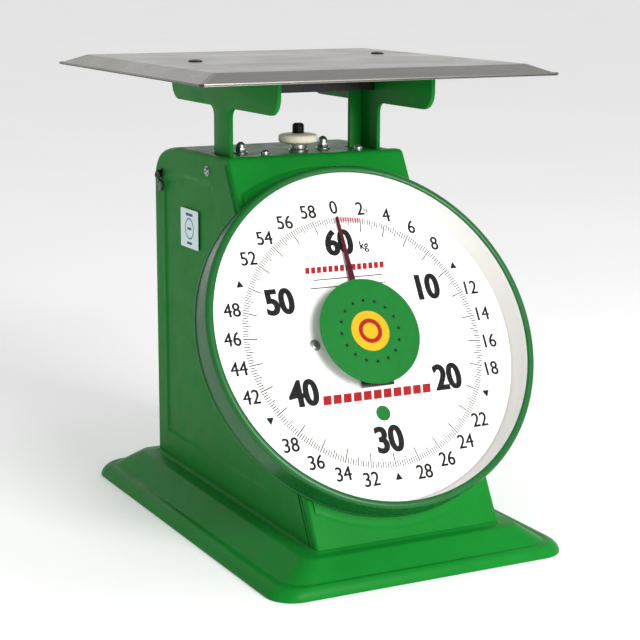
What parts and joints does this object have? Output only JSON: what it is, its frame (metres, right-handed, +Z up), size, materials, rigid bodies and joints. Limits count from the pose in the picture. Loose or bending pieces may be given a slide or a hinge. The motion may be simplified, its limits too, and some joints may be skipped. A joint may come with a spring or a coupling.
{
  "type": "mechanical dial platform scale",
  "caption": "Spring scale with a square platter on two brackets, a wedge-shaped sheet case on a wide base and a round dial that leans back.",
  "frame": {"origin": "centre of the underside, on the surface that the scale stands on", "axes": "+X to the scale's right as seen from the dial, +Y to the back, +Z up"},
  "size_m": [0.3, 0.374, 0.3669],
  "materials": {
    "green_paint": "glossy stoved enamel",
    "dark_green_paint": "glossy stoved enamel",
    "black_paint": "satin black",
    "white_enamel": "smooth white enamel",
    "clear_plastic": "clear",
    "green_print": "printed film",
    "label_film": "plain film",
    "stainless": "bright stainless",
    "zinc_steel": "zinc plated",
    "spring_steel": "drawn wire",
    "lead": "dull grey",
    "brass": "machined",
    "pointer_red": "satin maroon",
    "cream_plastic": "moulded"
  },
  "bodies": {
    "root": {"base_skirt": "green_paint", "base_plate": "zinc_steel", "case_shell": "green_paint", "front_panel": "green_paint", "rear_cover": "green_paint", "rear_cover_screws": "zinc_steel", "side_screws": "zinc_steel", "seal_screw": "zinc_steel", "lead_seal": "lead", "blank_label": "label_film", "dial_housing": "dark_green_paint", "dial_pan": "white_enamel", "dial_plate": "white_enamel", "dial_screws": "zinc_steel", "clear_cover": "clear_plastic", "hub_disc": "green_print", "left_upright": "zinc_steel", "right_upright": "zinc_steel", "top_bridge_plate": "zinc_steel", "top_screws": "zinc_steel", "top_bolts": "zinc_steel", "movement_front_plate": "brass", "movement_back_plate": "brass", "movement_pillars": "zinc_steel", "spindle_bushes": "brass", "rack_guide_pin": "zinc_steel", "dashpot_cylinder": "zinc_steel", "dashpot_cap": "zinc_steel", "knob_seat": "zinc_steel", "left_spring": "spring_steel", "right_spring": "spring_steel"},
    "load_frame": {"platter": "stainless", "platter_screws": "stainless", "left_bracket": "green_paint", "right_bracket": "green_paint", "platter_cross_member": "black_paint", "crosshead": "zinc_steel", "crosshead_screws": "zinc_steel", "rack_yoke": "zinc_steel", "damper_rod": "zinc_steel", "damper_piston": "zinc_steel"},
    "upper_lever": {"upper_lever_arms": "zinc_steel", "upper_lever_shaft": "zinc_steel", "upper_lever_pins": "zinc_steel"},
    "lower_lever": {"lower_lever_arms": "zinc_steel", "lower_lever_shaft": "zinc_steel", "lower_lever_pins": "zinc_steel"},
    "rack_body": {"rack": "brass", "rack_pin": "zinc_steel"},
    "pointer_body": {"spindle": "zinc_steel", "pinion": "brass", "pointer": "pointer_red", "pointer_boss": "black_paint"},
    "knob": {"zero_knob": "cream_plastic"},
    "hanger": {"spring_hanger": "zinc_steel", "zero_stud": "zinc_steel"}
  },
  "joints": [
    {"name": "platter_travel", "type": "slide", "parent": "root", "child": "load_frame", "axis": [0, 0, 1], "range_m": [-0.0197, 0], "stiffness_N_per_m": 29900, "springref_m": 0.0012, "deforming": ["left_spring", "right_spring"]},
    {"name": "upper_lever_hinge", "type": "hinge", "parent": "root", "child": "upper_lever", "pos_m": [0, 0.115, 0.236], "axis": [1, 0, 0], "range_deg": [0, 13.5]},
    {"name": "lower_lever_hinge", "type": "hinge", "parent": "root", "child": "lower_lever", "pos_m": [0, 0.115, 0.072], "axis": [1, 0, 0], "range_deg": [0, 13.5]},
    {"name": "rack_slide", "type": "slide", "parent": "root", "child": "rack_body", "axis": [0, 0.4939, 0.8695], "range_m": [-0.0228, 0]},
    {"name": "pointer_turn", "type": "hinge", "parent": "root", "child": "pointer_body", "pos_m": [0, -0.08052, 0.1575], "axis": [0, -0.8695, 0.4939], "range_deg": [-362, 0]},
    {"name": "hanger_slide", "type": "slide", "parent": "root", "child": "hanger", "axis": [0, 0, 1], "range_m": [-0.0025, 0.0025]},
    {"name": "zero_knob_turn", "type": "hinge", "parent": "root", "child": "knob", "pos_m": [0, 0.031, 0.299], "axis": [0, 0, 1], "range_deg": [-725, 725]}
  ],
  "couplings": [
    {"joint": "upper_lever_hinge", "follows": "platter_travel", "rad_per_m": -11.834},
    {"joint": "lower_lever_hinge", "follows": "platter_travel", "rad_per_m": -11.834},
    {"joint": "rack_slide", "follows": "platter_travel", "ratio": 1.1501},
    {"joint": "pointer_turn", "follows": "platter_travel", "rad_per_m": 319.47},
    {"joint": "zero_knob_turn", "follows": "hanger_slide", "rad_per_m": -5026.5}
  ]
}
